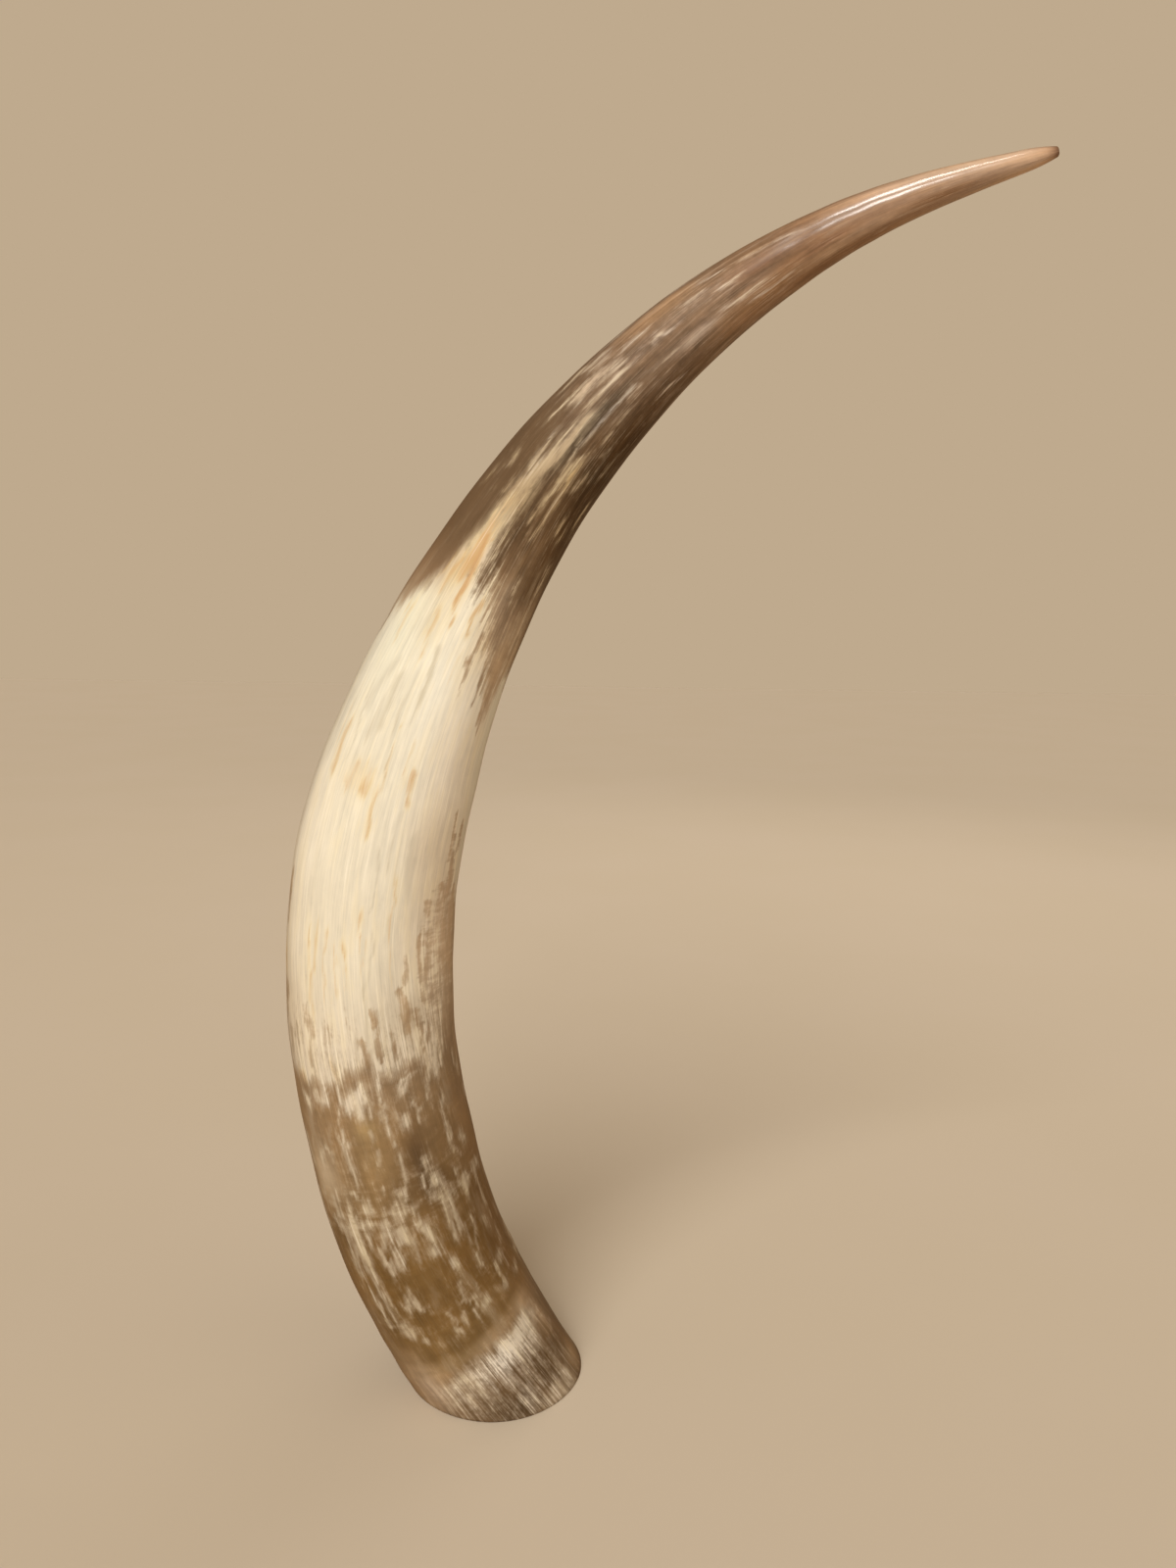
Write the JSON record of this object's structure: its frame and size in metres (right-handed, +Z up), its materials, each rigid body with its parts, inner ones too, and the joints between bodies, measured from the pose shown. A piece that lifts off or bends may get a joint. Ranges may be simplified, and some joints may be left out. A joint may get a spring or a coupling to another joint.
{
  "type": "ankole cattle horn",
  "caption": "Long polished cattle horn, sawn off flat at the root and hollow there, standing on the cut and sweeping up in one curve to a blunt tip.",
  "frame": {"origin": "middle of the bounding box, on the surface that the horn stands on", "axes": "+Z up along the horn's height, the bow lies in the X-Z plane with the tip towards +X, and -Y is the side seen in the picture, towards which the tip leans a little"},
  "size_m": [0.5348, 0.1555, 0.9345],
  "materials": {
    "horn": "natural horn, sanded and polished under a clear gloss: cream with yellow fibres in the middle, clouded olive-brown near the cut, grey-brown to the tip"
  },
  "bodies": {
    "root": {"horn": "horn"}
  },
  "joints": []
}
